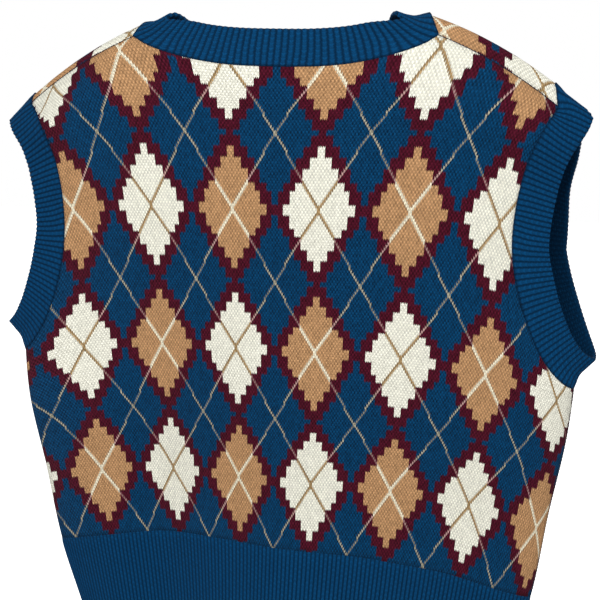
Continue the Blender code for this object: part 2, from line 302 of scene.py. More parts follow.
    def place_with_normal(self, across: Array, run: Array) -> tuple[Array, Array]:
        """Points of the form and the unit normals that point out of it.

        Args:
            across: Places across, in millimetres, of any shape.
            run: Runs from the ridge, of the same shape.

        Returns:
            The points and the normals, each with a last axis of 3.
        """
        shape = across.shape
        across, run = across.ravel(), run.ravel()
        probe, edge = self.probe, self.panel_half - self.probe
        inside = np.clip(across, -edge, edge)
        sideways = self.place(inside + probe, run) - self.place(inside - probe, run)
        downwards = self.place(across, run + probe) - self.place(across, run - probe)
        normal = np.cross(sideways, downwards)
        normal[np.abs(across) > self.panel_half - self.seam_gap, 1] = 0.0
        return self.place(across, run).reshape(*shape, 3), unit(normal).reshape(*shape, 3)


@dataclass
class Cut:
    """The cut of the pieces: where the seams run, in millimetres of cloth."""

    form: VestForm
    underarm: float = 157.0
    hem_rib: float = 65.0
    seam_behind_ridge: float = 17.0
    shoulder_tip: float = 205.0
    neck_point: float = 110.0
    back_neck_dip: float = 47.0
    back_neck_curve: float = 2.6
    v_point: float = 190.0
    v_curve: float = 1.12
    back_scoop: float = 59.0
    front_scoop: float = 52.0
    back_rise: float = 2.2
    front_rise: float = 0.9
    back_scoop_height: float = 104.0
    front_scoop_height: float = 85.0

    def shoulder_level(self, face: Face) -> float:
        """The level of the shoulder seam on one face."""
        return self.form.ridge - face.value * self.seam_behind_ridge

    def run(self, level: Array, face: Face) -> Array:
        """Turns levels on one face into runs from the ridge."""
        return face.value * (self.form.ridge - level)

    def armhole(self, rise: Array, face: Face) -> tuple[Array, Array]:
        """The edge of an armhole.

        Args:
            rise: 0 at the side seam, 1 where the scoop ends, 2 at the shoulder tip.
            face: The panel.

        Returns:
            Places across and levels.
        """
        scoop, height, turn_out = self.front_scoop, self.front_scoop_height, self.front_rise
        if face is Face.BACK:
            scoop, height, turn_out = self.back_scoop, self.back_scoop_height, self.back_rise
        turn = np.minimum(rise, 1.0) * np.pi / 2
        above = np.maximum(rise - 1.0, 0.0)
        inner = self.form.panel_half - scoop
        across = self.form.panel_half - scoop * np.sin(turn)
        across = across + (self.shoulder_tip - inner) * above**turn_out
        scoop_top = self.underarm + height
        level = self.underarm + height * (1 - np.cos(turn))
        return across, level + (self.shoulder_level(face) - scoop_top) * above

    def neck(self, across: Array, face: Face) -> Array:
        """The level of the neck edge at each place across."""
        part = np.minimum(np.abs(across) / self.neck_point, 1.0)
        shoulder = self.shoulder_level(face)
        if face is Face.BACK:
            return shoulder - self.back_neck_dip * (1 - part**self.back_neck_curve)
        return self.v_point + (shoulder - self.v_point) * part**self.v_curve

    def armhole_loop(self, turn: Array) -> tuple[Array, Array]:
        """(across, run) round an armhole: 0 and 4 at the side seam, 2 at the shoulder."""
        back_across, back_level = self.armhole(turn, Face.BACK)
        front_across, front_level = self.armhole(4.0 - turn, Face.FRONT)
        behind = turn <= 2.0
        back_run = self.run(back_level, Face.BACK)
        front_run = self.run(front_level, Face.FRONT)
        across = np.where(behind, back_across, front_across)
        return across, np.where(behind, back_run, front_run)

    def neck_loop(self, turn: Array) -> tuple[Array, Array]:
        """(across, run) round the neck: 0 and 4 at the V point, 2 at the back."""
        near = np.where(turn <= 2.0, turn, 4.0 - turn)
        across = self.neck_point * np.where(near <= 1.0, near, 2.0 - near)
        front_run = self.run(self.neck(across, Face.FRONT), Face.FRONT)
        back_run = self.run(self.neck(across, Face.BACK), Face.BACK)
        run = np.where(near < 1.0, front_run, back_run)
        return np.where(turn <= 2.0, across, -across), run


# ---- Where the chart lies on the cloth ----
@dataclass(frozen=True)
class Drift:
    """How far the chart has crept at one level, as quartics in across / panel_half."""

    level: float
    sideways: tuple[float, ...]
    upwards: tuple[float, ...]


@dataclass
class ChartLay:
    """Lays the argyle chart on the cloth: one unit is one diamond each way."""

    form: VestForm
    diamond_width: float = 66.0
    diamond_height: float = 105.4
    front_shortfall: float = 0.6  # rows fewer on the front than on the back
    front_spread: float = 0.16  # how much wider its diamonds are at the shoulder
    front_from: float = 150.0
    front_over: float = 270.0
    drifts: tuple[Drift, ...] = (
        Drift(50, (1.2, -14.2, -14.4, 12.8, 28.4), (1.7, 1.1, -14.5, -2.3, 17.9)),
        Drift(105, (-1.2, -21.4, -17.6, 20.2, 37.7), (0.9, -1.5, -14.1, 2.7, 23.2)),
        Drift(158, (-0.8, -21.7, -17.8, 19.3, 43.8), (-1, 0.3, -11.3, 0.4, 34)),
        Drift(211, (-1.2, -19.1, -16.6, 14.6, 37.8), (2.1, 1.7, -13.7, -1.4, 35.3)),
        Drift(264, (-1.3, -9, -10.4, 8.2, 28.7), (4.9, 3.8, -29.8, -4.2, 35.6)),
        Drift(316, (-1.2, 2.2, -3.7, -2.4, 17.8), (5.1, 4.6, -56.4, -2.4, 43)),
        Drift(352, (-1.7, 16.4, 4.7, -15.5, 5.9), (8.5, 3.7, -91.3, 0.9, 51.5)),
        Drift(395, (4.8, 45.2, -1.9, -39.8, -9.4), (-5.6, -2.5, -104.2, 21.8, 74.5)),
    )

    def at(self, across: Array, level: Array, face: Face) -> Array:
        """The chart's place at each place of the cloth.

        Args:
            across: Places across, in millimetres.
            level: Levels, in millimetres.
            face: The panel.

        Returns:
            Chart places, (column, row) in diamonds, as a last axis of 2.
        """
        if face is Face.FRONT:
            ease = np.clip((level - self.front_from) / self.front_over, 0.0, 1.0)
            ease = ease * ease * (3 - 2 * ease)
            width = self.diamond_width * (1 + self.front_spread * ease)
            row = level / self.diamond_height - self.front_shortfall * ease
            return np.stack([across / width, row], axis=-1)
        stations = np.array([drift.level for drift in self.drifts])
        held = np.clip(level, stations[0], stations[-1])
        part = across / self.form.panel_half
        moved = []
        for name in ("sideways", "upwards"):
            table = np.array([getattr(drift, name) for drift in self.drifts])
            terms = smooth_through(table, stations, held.ravel()).reshape(*held.shape, -1)
            moved.append(np.sum(terms * part[..., None] ** np.arange(terms.shape[-1]), axis=-1))
        column = (moved[0] - across) / self.diamond_width
        return np.stack([column, (level + moved[1]) / self.diamond_height], axis=-1)


# ---- Materials ----
def linear(hex_colour: str) -> Colour:
    """Turns an sRGB hex colour into the linear values a shader takes.

    Args:
        hex_colour: Six hex digits.

    Returns:
        Linear red, green, blue and an alpha of 1.
    """
    parts = (int(hex_colour[k : k + 2], 16) / 255 for k in (0, 2, 4))
    red, green, blue = (p / 12.92 if p <= 0.04045 else ((p + 0.055) / 1.055) ** 2.4 for p in parts)
    return red, green, blue, 1.0


def add_node(
    tree: bpy.types.NodeTree,
    kind: str,
    *inputs: object,
    output: int = 0,
    stops: tuple | list = (),
    **settings: object,
) -> Socket:
    """Adds a node, sets it up and links it.

    Args:
        tree: The material's node tree.
        kind: The node's type without its "ShaderNode", with its operation after a dot.
        inputs: Sockets or plain values in order, or one dict of them by number or name.
        output: Which of its outputs to hand back.
        stops: Places and colours, where it is a ramp that holds each to the next.
        settings: Properties of the node.

    Returns:
        The chosen output socket.
    """
    kind, _, operation = kind.partition(".")
    node = tree.nodes.new("ShaderNode" + kind)
    if operation:
        node.operation = operation
    for name, value in settings.items():
        setattr(node, name, value)
    if stops:
        ramp = node.color_ramp
        ramp.interpolation = "CONSTANT"
        ramp.elements.remove(ramp.elements[1])
        ramp.elements[0].position, ramp.elements[0].color = stops[0]
        for place, colour in stops[1:]:
            ramp.elements.new(place).color = colour
    by_name = bool(inputs) and isinstance(inputs[0], dict)
    for key, value in inputs[0].items() if by_name else enumerate(inputs):
        if isinstance(value, Socket):
            tree.links.new(value, node.inputs[key])
        else:
            node.inputs[key].default_value = value
    return node.outputs[output]


@dataclass(frozen=True)
class Wool:
    """What every knit of this vest shares: how fine wool yarn takes the light."""

    # Wool is matt, as its fibres scatter light every way. The eye gets no highlight, only
    # a faint bloom where the cloth turns away, and a grain of small rounded stitches, each
    # a little lighter or darker than the next. The colour has painted shade in the gaps
    # between the yarns and painted light on each stitch's crown.
    name: str
    roughness: float = 0.86
    specular: float = 0.06
    sheen: float = 0.012
    sheen_roughness: float = 0.45
    stitch_depth: float = 0.00045  # in metres, as the bump takes it
    bump_strength: float = 0.8
    fibre_in_bump: float = 0.25
    leg_climb: float = 1.6  # rows that a leg of the V climbs over the width of a stitch
    leg_across: float = 2.6  # 2 is a round leg, more is flatter, across it and along it
    leg_along: float = 3.2
    # Painted shade: how much darker the colour is in the gaps between the yarns.
    gap_shade: float = 0.34  # how much darker the gaps between the yarns are
    # Painted light: how much lighter the colour is on the crown of each stitch.
    crown_light: float = 1.06
    dark_grain: float = 0.64  # how much stitches differ in tone, in a dark and a pale yarn
    pale_grain: float = 0.28
    pale_yarn: float = 0.6
    birdseye: float = 0.6  # the part of that which goes by turns, as the yarns behind do
    cloth_scale: float = 26.0
    cloth_swing: float = 0.03
    fibre_scale: float = 1900.0
    fibre_swing: float = 0.07

    def start(self) -> tuple[Material, bpy.types.NodeTree, list[Socket]]:
        """Makes the material with the yarn's uniform values set on its shader.

        Returns:
            The material, its node tree, and the two values of the piece's map named knit.
        """
        made = bpy.data.materials.new(self.name)
        made.use_nodes = True
        shader = made.node_tree.nodes["Principled BSDF"]
        shader.inputs["Roughness"].default_value = self.roughness
        shader.inputs["Specular IOR Level"].default_value = self.specular
        shader.inputs["Sheen Weight"].default_value = self.sheen
        shader.inputs["Sheen Roughness"].default_value = self.sheen_roughness
        knit = add_node(made.node_tree, "UVMap", uv_map="knit")
        split = add_node(made.node_tree, "SeparateXYZ", knit).node
        return made, made.node_tree, list(split.outputs[:2])

    def stitches(
        self, tree: bpy.types.NodeTree, wale: Socket, course: Socket
    ) -> tuple[Socket, Socket, Socket]:
        """The V-shaped stitches of plain knit.

        Args:
            tree: The material's node tree.
            wale: Stitches across.
            course: Rows of stitches up.

        Returns:
            The stitch's own number across and up, and the yarn's height in it, 0 to 1.
        """
        in_stitch = add_node(tree, "Math.SUBTRACT", add_node(tree, "Math.FRACT", wale), 0.5)
        off = add_node(tree, "Math.ABSOLUTE", in_stitch)
        climb = add_node(tree, "Math.MULTIPLY", off, self.leg_climb)
        climb = add_node(tree, "Math.SUBTRACT", course, climb)
        in_row = add_node(tree, "Math.FRACT", climb)
        crowns = []
        for part, spread, power in ((in_row, 2.0, self.leg_along), (off, 4.0, self.leg_across)):
            edge = add_node(tree, "Math.MULTIPLY_ADD", part, spread, -1.0)
            edge = add_node(tree, "Math.POWER", add_node(tree, "Math.ABSOLUTE", edge), power)
            crowns.append(add_node(tree, "Math.SUBTRACT", 1.0, edge))
        numbers = (add_node(tree, "Math.FLOOR", way) for way in (wale, climb))
        return *numbers, add_node(tree, "Math.MULTIPLY", *crowns)

    def connect(self, tree: bpy.types.NodeTree, colour: Socket, bump: Socket) -> None:
        """Links a colour and a bump to the material's shader."""
        shader = tree.nodes["Principled BSDF"]
        tree.links.new(colour, shader.inputs["Base Color"])
        tree.links.new(bump, shader.inputs["Normal"])

    def finish(
        self, tree: bpy.types.NodeTree, colour: Socket, cell: tuple[Socket, Socket], height: Socket
    ) -> None:
        """Paints shade into stitch gaps and light onto crowns, varies each a little and raises it.

        Args:
            tree: The material's node tree.
            colour: The yarn's colour at each stitch.
            cell: The stitch's number across and up.
            height: The yarn's height in the stitch, 0 to 1.
        """
        key = add_node(tree, "CombineXYZ", *cell)
        stitch_tone = add_node(tree, "TexWhiteNoise", key, noise_dimensions="2D")
        place = add_node(tree, "TexCoord", output=3)
        cloth, fibre = (
            add_node(tree, "TexNoise", {"Vector": place, "Scale": scale, "Detail": detail})
            for scale, detail in ((self.cloth_scale, 3.0), (self.fibre_scale, 2.0))
        )
        # Painted shade in the gaps between the yarns and painted light on each crown, from the
        # yarn's height.
        tone = add_node(tree, "MapRange", height, 0.0, 1.0, 1.0 - self.gap_shade, self.crown_light)
        pale = add_node(tree, "RGBToBW", colour)
        grain = (self.dark_grain, self.pale_grain)
        swing = add_node(tree, "MapRange", pale, 0.0, self.pale_yarn, *grain)
        parity = add_node(tree, "VectorMath.DOT_PRODUCT", key, (0.5, 0.5, 0.0), output=1)
        by_turns = add_node(tree, "Math.FRACT", parity)
        by_turns = add_node(tree, "MapRange", by_turns, 0.0, 0.5, -self.birdseye, self.birdseye)
        uneven = 1 - self.birdseye
        by_chance = add_node(tree, "MapRange", stitch_tone, 0.0, 1.0, -uneven, uneven)
        fleck = add_node(tree, "Math.ADD", by_chance, by_turns)
        varied = add_node(tree, "Math.MULTIPLY_ADD", fleck, swing, 1.0)
        low, high = 1 - self.cloth_swing, 1 + self.cloth_swing
        broad = add_node(tree, "MapRange", cloth, 0.25, 0.75, low, high)
        low, high = 1 - self.fibre_swing, 1 + self.fibre_swing
        fuzz = add_node(tree, "MapRange", fibre, 0.2, 0.8, low, high)
        # The painted shade and light, times the stitches' random tone and the cloth's and fibres'
        # unevenness.
        for other in (varied, broad, fuzz):
            tone = add_node(tree, "Math.MULTIPLY", tone, other)
        shaded = add_node(tree, "VectorMath.SCALE", {0: colour, 3: tone})
        yarn = add_node(tree, "Math.MULTIPLY_ADD", fibre, self.fibre_in_bump, height)
        raised = {"Height": yarn, "Distance": self.stitch_depth, "Strength": self.bump_strength}
        self.connect(tree, shaded, add_node(tree, "Bump", raised))


@dataclass(frozen=True)
class Jacquard(Wool):
    """Fine wool jacquard, whose map counts diamonds of so many stitches each way."""

    stitches_wide: float = 52.0
    courses_high: float = 56.0
    ground: str = "033A60"
    border: str = "4C1022"
    cream: str = "F7F5E5"
    camel: str = "BE9166"

    def charted(
        self, tree: bpy.types.NodeTree, knit: list[Socket]
    ) -> tuple[Socket, Socket, Socket]:
        """The stitches of the map, as stitches() gives them."""
        counts = (self.stitches_wide, self.courses_high)
        ways = (add_node(tree, "Math.MULTIPLY", way, count) for way, count in zip(knit, counts))
        return self.stitches(tree, *ways)


@dataclass(frozen=True)
class ArgyleJacquard(Jacquard):
    """The outside: stepped diamonds ringed in maroon on blue, crossed by fine lines."""

    # Four dyed wools knitted in one cloth: flat matt colours that meet in steps of whole
    # stitches, with no print's soft edge, and lines one stitch wide that climb in steps
    # and change yarn over each ground. The yarns behind show as a faint fleck.
    name: str = "argyle_jacquard_wool"
    steps_across: tuple[float, ...] = (2, 6, 10, 14, 17, 21, 24, 26)  # in stitches
    steps_up: tuple[float, ...] = (1.5, 6.5, 10.5, 14.5, 18.5, 22.5, 26.5, 28)
    diamond_ends: float = 5.5  # in steps from the diamond's middle
    border_ends: float = 7.5
    line_halves: tuple[float, float] = (0.5, 0.95)  # in stitches, outside and in diamonds
    line_on_ground: str = "A39C87"
    line_on_border: str = "B58F8A"
    line_on_cream: str = "A78A60"
    line_on_camel: str = "EFE6CC"

    def stair(
        self, tree: bpy.types.NodeTree, part: Socket, steps: tuple[float, ...]
    ) -> Socket:
        """Which step of the diamond's stair a stitch is on.

        Args:
            tree: The material's node tree.
            part: 0 at the diamond's middle, 1 halfway to the next diamond.
            steps: Where each step of the stair ends, in stitches.

        Returns:
            The step's number, as a share of all the steps.
        """
        places = (0.0, *(step / steps[-1] for step in steps[:-1]))
        shares = (number / len(steps) for number in range(len(steps)))
        stops = [(place, (share, share, share, 1.0)) for place, share in zip(places, shares)]
        return add_node(tree, "ValToRGB", part, stops=stops)

    def build(self) -> Material:
        """Makes the material."""
        made, tree, knit = self.start()
        stitch, row, height = self.charted(tree, knit)
        diamonds, offs, stairs = [], [], []
        for number, count, steps in (
            (stitch, self.stitches_wide, self.steps_across),
            (row, self.courses_high, self.steps_up),
        ):
            middle = add_node(tree, "Math.ADD", number, 0.5)
            place = add_node(tree, "Math.DIVIDE", middle, count)
            diamonds.append(add_node(tree, "Math.FLOOR", place))
            off = add_node(tree, "Math.FRACT", place)
            off = add_node(tree, "Math.MULTIPLY_ADD", off, 2.0, -1.0)
            offs.append(add_node(tree, "Math.ABSOLUTE", off))
            stairs.append(self.stair(tree, offs[-1], steps))
        step = add_node(tree, "Math.ADD", *stairs)
        in_diamond, in_border = (
            add_node(tree, "Math.LESS_THAN", step, end / len(self.steps_up))
            for end in (self.diamond_ends, self.border_ends)
        )
        count = add_node(tree, "Math.ADD", *diamonds)
        half = add_node(tree, "Math.FRACT", add_node(tree, "Math.MULTIPLY", count, 0.5))
        is_camel = add_node(tree, "Math.GREATER_THAN", half, 0.25)
        gap = add_node(tree, "Math.ABSOLUTE", add_node(tree, "Math.SUBTRACT", *offs))
        halves = (width / (self.stitches_wide / 2) for width in self.line_halves)
        line_half = add_node(tree, "MapRange", in_diamond, 0.0, 1.0, *halves)
        on_line = add_node(tree, "Math.LESS_THAN", gap, line_half)
        layers = []
        for cream, camel, ground, border in (
            (self.cream, self.camel, self.ground, self.border),
            (self.line_on_cream, self.line_on_camel, self.line_on_ground, self.line_on_border),
        ):
            diamond = {0: is_camel, 6: linear(cream), 7: linear(camel)}
            diamond = add_node(tree, "Mix", diamond, output=2, data_type="RGBA")
            outside = {0: in_border, 6: linear(ground), 7: linear(border)}
            outside = add_node(tree, "Mix", outside, output=2, data_type="RGBA")
            both = {0: in_diamond, 6: outside, 7: diamond}
            layers.append(add_node(tree, "Mix", both, output=2, data_type="RGBA"))
        colour = {0: on_line, 6: layers[0], 7: layers[1]}
        colour = add_node(tree, "Mix", colour, output=2, data_type="RGBA")
        self.finish(tree, colour, (stitch, row), height)
        return made


@dataclass(frozen=True)
class JacquardReverse(Jacquard):
    """The inside of the jacquard."""

    # On the back of a birdseye jacquard the four yarns take turns stitch by stitch. The
    # eye gets a dark speckle with no figure in it.
    name: str = "jacquard_reverse_wool"
    yarn_from: tuple[float, ...] = (0.0, 0.4, 0.65, 0.82)
    shuffle: float = 7.0

    def build(self) -> Material:
        """Makes the material."""
        made, tree, knit = self.start()
        stitch, row, height = self.charted(tree, knit)
        key = add_node(tree, "CombineXYZ", stitch, row, self.shuffle)
        pick = add_node(tree, "TexWhiteNoise", key, noise_dimensions="3D")
        yarns = (self.ground, self.border, self.cream, self.camel)
        stops = list(zip(self.yarn_from, (linear(yarn) for yarn in yarns)))
        colour = add_node(tree, "ValToRGB", pick, stops=stops)
        self.finish(tree, colour, (stitch, row), height)
        return made


@dataclass(frozen=True)
class RibWool(Wool):
    """One-by-one rib in the ground yarn: its map counts ribs across and millimetres up."""

    # Plain stitches stand up in ridges and purl stitches sink between them. The eye gets
    # close lines of matt blue. The colour has painted shade in the valleys between the
    # ribs, and more painted shade along the seam where the rib is linked on.
    name: str = "blue_rib_wool"
    gap_shade: float = 0.14
    dark_grain: float = 0.16
    yarn: str = "033C65"
    # Painted shade in the rib valleys: the colour's factor at a valley's bottom, and how narrow
    # the shaded band is.
    valley_shade: float = 0.42
    valley_shade_width: float = 1.5  # 1 is half the rib, more is narrower
    course: float = 1.9
    # Painted shade along the seam: the colour's factor at the seam, and how far from it the shade
    # fades, in millimetres.
    seam_shade: float = 0.5
    seam_reach: float = 2.2

    def build(self) -> Material:
        """Makes the material."""
        made, tree, knit = self.start()
        course = add_node(tree, "Math.DIVIDE", knit[1], self.course)
        stitch, row, height = self.stitches(tree, knit[0], course)
        turn = add_node(tree, "Math.FRACT", knit[0])
        turn = add_node(tree, "Math.COSINE", add_node(tree, "Math.MULTIPLY", turn, math.tau))
        hollow = add_node(tree, "Math.MULTIPLY_ADD", turn, 0.5, 0.5)
        hollow = add_node(tree, "Math.POWER", hollow, self.valley_shade_width)
        # Painted shade: the colour darkens towards the bottom of each valley between the ribs.
        ridge = add_node(tree, "MapRange", hollow, 1.0, 0.0, self.valley_shade, 1.0)
        # Painted shade, darkest at the seam where the rib is linked on.
        seam = add_node(tree, "MapRange", knit[1], 0.0, self.seam_reach, self.seam_shade, 1.0)
        tone = add_node(tree, "Math.MULTIPLY", ridge, seam)
        colour = add_node(tree, "VectorMath.SCALE", {0: linear(self.yarn)[:3], 3: tone})
        self.finish(tree, colour, (stitch, row), height)
        return made


@dataclass(frozen=True)
class SeamThread(Wool):
    """The dark linking thread along the seams, whose map runs in millimetres along it."""

    # A thin two-ply twist: the eye gets a dark line, with slanting painted light and
    # shade along its plies.
    name: str = "navy_linking_thread"
    colour: str = "1C1A2A"
    twist: float = 2.4
    # Painted light and shade: the colour's factors from one side of a ply to the other.
    ply_light_and_shade: tuple[float, float] = (0.6, 1.5)
    ply_depth: float = 0.0003
    ply_strength: float = 0.7

    def build(self) -> Material:
        """Makes the material."""
        made, tree, knit = self.start()
        along = add_node(tree, "Math.DIVIDE", knit[0], self.twist)
        turned = add_node(tree, "Math.ADD", along, knit[1])
        ply = add_node(tree, "Math.PINGPONG", turned, 1.0)
        # Painted light and shade in slanting bands along the twist.
        tone = add_node(tree, "MapRange", ply, 0.0, 1.0, *self.ply_light_and_shade)
        shaded = add_node(tree, "VectorMath.SCALE", {0: linear(self.colour)[:3], 3: tone})
        raised = {"Height": ply, "Distance": self.ply_depth, "Strength": self.ply_strength}
        self.connect(tree, shaded, add_node(tree, "Bump", raised))
        return made


# ---- Making a sheet ----
@dataclass
class Sheet:
    """A sheet of knit worked out as a grid, which becomes one meshed piece."""

    name: str
    points: Array
    outwards: Array
    chart: Array
    thickness: float
    closed: bool = False

    def mesh(self) -> Piece:
        """Moves a flat grid onto the sheet's points and gives it the knit map.

        Returns:
            The piece, with its wall as a Solidify modifier. A thickness of 0 makes a
            tube with filled ends.
        """
        rows, count = self.points.shape[:2]
        made = bmesh.new()
        bmesh.ops.create_grid(made, x_segments=count - 1, y_segments=rows - 1, size=1.0)
        place = {}
        for vertex in made.verts:
            i = round((vertex.co.x + 1) / 2 * (count - 1))
            j = round((vertex.co.y + 1) / 2 * (rows - 1))
            place[vertex] = (j, i)
            vertex.co = self.points[j, i] * MM
        knit = made.loops.layers.uv.new("knit")
        for face in made.faces:
            for loop in face.loops:
                loop[knit].uv = self.chart[place[loop.vert]]
        made.normal_update()
        outwards = (Vector(self.outwards[place[face.verts[0]]]) for face in made.faces)
        if sum(face.normal.dot(way) for face, way in zip(made.faces, outwards)) < 0:
            bmesh.ops.reverse_faces(made, faces=made.faces)
        if self.closed:
            bmesh.ops.remove_doubles(made, verts=made.verts, dist=WELD)
        if not self.thickness:
            bmesh.ops.holes_fill(made, edges=[edge for edge in made.edges if edge.is_boundary])
        data = bpy.data.meshes.new(self.name)
        made.to_mesh(data)
        made.free()
        data.shade_smooth()
        piece = bpy.data.objects.new(self.name, data)
        bpy.context.scene.collection.objects.link(piece)
        if self.thickness:
            wall = piece.modifiers.new("wall", "SOLIDIFY")
            wall.thickness, wall.offset = self.thickness * MM, -1.0
        return piece


@dataclass(frozen=True)
class FlatCut:
    """The size a piece was knitted to, in metres, and its area in square metres."""

    width: float
    length: float
    area: float


def dress(
    piece: Piece,
    material: Material,
    nodes: tuple[str, ...],
) -> None:
    """Gives a piece its material and its place in the frame.

    Args:
        piece: The piece.
        material: Its finish.
        nodes: The CAD nodes it stands for.
    """
    piece.data.materials.append(material)
    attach(piece, "root")
    if nodes:
        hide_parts(*nodes)
    corners = (piece.bound_box[0], piece.bound_box[6])
    low, high = (tuple(round(c, 3) for c in corner) for corner in corners)
    log.info("%s: %d faces, box %s to %s", piece.name, len(piece.data.polygons), low, high)


# ---- The pieces ----
@dataclass
class JacquardPanel:
    """The back or the front panel."""

    cut: Cut
    lay: ChartLay
    face: Face
    flat: FlatCut
    thickness: float = 2.2
    neck_columns: int = 34
    shoulder_columns: int = 22
    lower_rows: int = 36
    scoop_rows: int = 24
    shoulder_rows: int = 44

    @property
    def name(self) -> str:
        """The piece's and its solid's name."""
        return self.face.name.lower() + "_panel"

    def grid(self) -> tuple[Array, Array]:
        """The panel's places, a row at a time from the rib to the shoulder.

        Returns:
            Places across and levels.
        """
        cut, half = self.cut, self.cut.form.panel_half
        neck_part = cut.neck_point / cut.shoulder_tip
        neck = neck_part * np.linspace(0.0, 1.0, self.neck_columns + 1)
        shoulder = np.linspace(neck_part, 1.0, self.shoulder_columns + 1)[1:]
        part = np.concatenate([neck, shoulder])
        part = np.concatenate([-part[:0:-1], part])
        lower = np.linspace(0.0, cut.underarm, self.lower_rows + 1)[:-1]
        scoop = np.linspace(0.0, 1.0, self.scoop_rows + 1)[:-1]
        rise = np.concatenate([scoop, np.linspace(1.0, 2.0, self.shoulder_rows + 1)])
        edge_across, edge_level = cut.armhole(rise, self.face)
        height = (edge_level - cut.underarm) / (edge_level[-1] - cut.underarm)
        top = cut.neck(part * cut.shoulder_tip, self.face)
        across = np.outer(np.concatenate([np.full(len(lower), half), edge_across]), part)
        above = cut.underarm + np.outer(height, top - cut.underarm)
        return across, np.vstack([np.outer(lower, np.ones_like(part)), above])

    def build(self, material: Material, reverse: Material) -> Piece:
        """Builds and dresses the panel.

        Args:
            material: The finish of its outside.
            reverse: The finish of its inside.

        Returns:
            The panel.
        """
        across, level = self.grid()
        points, normal = self.cut.form.place_with_normal(across, self.cut.run(level, self.face))
        chart = self.lay.at(across, level, self.face)
        piece = Sheet("knit_" + self.name, points, normal, chart, self.thickness).mesh()
        dress(piece, material, (self.name,))
        piece.data.materials.append(reverse)
        piece.modifiers["wall"].material_offset = 1
        return piece


@dataclass
class HemRib:
    """The back or the front half of the hem rib, with its ribs in relief."""

    cut: Cut
    face: Face
    flat: FlatCut
    thickness: float = 2.6
    pitch: float = 3.6
    depth: float = 0.42
    proud: float = 0.3
    relief_over: float = 5.0  # the ribs rise over this much below the panel
    below_seam: float = 20.0  # keeps the finish's seam shade off the hem rib
    samples_a_rib: int = 6
    rows: int = 14

    @property
    def name(self) -> str:
        """The piece's and its solid's name."""
        return "hem_rib_" + self.face.name.lower()

    def build(self, material: Material) -> Piece:
        """Builds and dresses the rib."""
        cut, half = self.cut, self.cut.form.panel_half
        ribs = round(2 * half / self.pitch)
        across = np.linspace(-half, half, ribs * self.samples_a_rib + 1)
        level = np.linspace(-cut.hem_rib, 0.0, self.rows + 1)
        wide, high = np.meshgrid(across, level)
        points, normal = cut.form.place_with_normal(wide, cut.run(high, self.face))
        rib = (wide + half) / (2 * half) * ribs
        ease = np.clip(-high / self.relief_over, 0.0, 1.0)
        lift = ease * (self.proud - self.depth * np.cos(math.tau * rib))
        points = points + normal * lift[..., None]
        chart = np.stack([rib, self.below_seam - high], axis=-1)
        piece = Sheet("knit_" + self.name, points, normal, chart, self.thickness).mesh()
        rests = (self.face.name.lower() + "_panel",)
        dress(piece, material, (self.name,))
        return piece


@dataclass(frozen=True)
class BandSeam:
    """The seam that a band leaves from.

    Stations count round the opening to 4. The path gives (across, run) at stations. The
    free edge rolls towards the target, and opening is a point amid the opening, in
    millimetres.
    """

    stations: Array
    path: Callable[[Array], tuple[Array, Array]]
    target: Array
    opening: Array
    closed: bool


